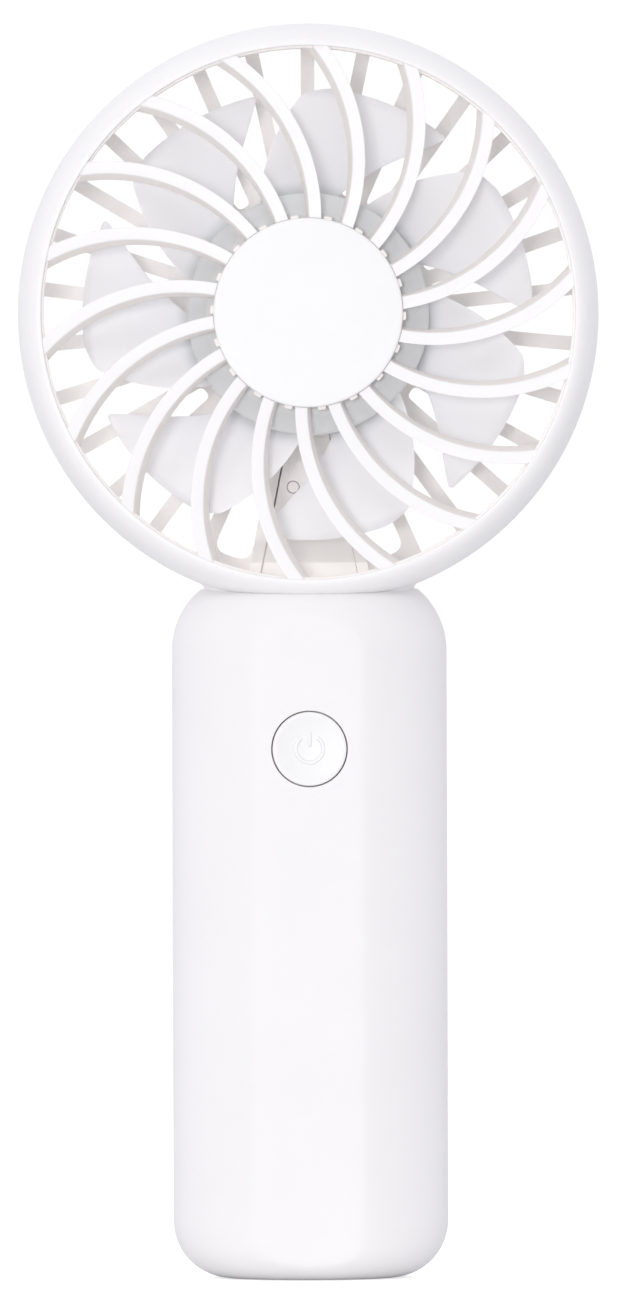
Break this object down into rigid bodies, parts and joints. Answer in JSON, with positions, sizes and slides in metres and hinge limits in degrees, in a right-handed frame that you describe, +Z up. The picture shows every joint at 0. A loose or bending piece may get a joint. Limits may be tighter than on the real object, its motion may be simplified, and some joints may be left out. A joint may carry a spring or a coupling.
{
  "type": "handheld electric fan",
  "caption": "Handheld rechargeable fan: round guarded head with curved front vanes and a swept-blade impeller on an oval battery handle with a round push button.",
  "frame": {"origin": "centre of the flat base of the handle", "axes": "+Z up the handle towards the fan head, +X to the right seen from the front, the front faces -Y and the impeller's shaft runs along Y"},
  "size_m": [0.1, 0.0331, 0.216],
  "materials": {
    "grille_white": "satin moulded plastic",
    "cap_white": "satin moulded plastic",
    "rear_white": "satin moulded plastic",
    "impeller_grey": "satin moulded plastic",
    "handle_white": "fine matte coating",
    "button_white": "satin moulded plastic",
    "dark_plastic": "matte",
    "motor_steel": "plated steel",
    "shaft_steel": "ground steel",
    "screw_steel": "plated steel",
    "socket_steel": "drawn steel",
    "nickel": "nickel strip",
    "sintered_brass": "sintered",
    "ferrite": "matte ferrite",
    "board_green": "solder mask",
    "cell_wrap": "shrink wrap over a steel can",
    "wire_red": "soft insulation",
    "wire_black": "soft insulation"
  },
  "bodies": {
    "housing": {"front_grille": "grille_white", "hub_cap": "cap_white", "rear_grille": "rear_white", "wire_channel_cover": "rear_white", "motor_can": "motor_steel", "motor_magnet": "ferrite", "motor_front_bush": "sintered_brass", "motor_rear_bush": "sintered_brass", "motor_end_plate": "dark_plastic", "handle_front_shell": "handle_white", "handle_rear_shell": "handle_white", "shell_screw_1": "screw_steel", "shell_screw_2": "screw_steel", "shell_screw_3": "screw_steel", "shell_screw_4": "screw_steel", "switch_body": "dark_plastic", "circuit_board": "board_green", "battery_cell": "cell_wrap", "battery_tab_top": "nickel", "battery_tab_bottom": "nickel", "charge_board": "board_green", "usb_socket": "socket_steel", "motor_wire_red": "wire_red", "motor_wire_black": "wire_black", "battery_wire_red": "wire_red", "battery_wire_black": "wire_black"},
    "rotor": {"impeller": "impeller_grey", "motor_shaft": "shaft_steel", "motor_armature": "motor_steel"},
    "button": {"power_button": "button_white"},
    "plunger": {"switch_plunger": "dark_plastic"}
  },
  "joints": [
    {"name": "impeller_spin", "type": "hinge", "parent": "housing", "child": "rotor", "pos_m": [0, 0, 0.166], "axis": [0, 1, 0], "continuous": true},
    {"name": "button_press", "type": "slide", "parent": "housing", "child": "button", "axis": [0, 1, 0], "range_m": [0, 0.0006], "stiffness_N_per_m": 300},
    {"name": "plunger_press", "type": "slide", "parent": "housing", "child": "plunger", "axis": [0, 1, 0], "range_m": [0, 0.0006]}
  ],
  "couplings": [
    {"joint": "plunger_press", "follows": "button_press", "ratio": 1}
  ]
}
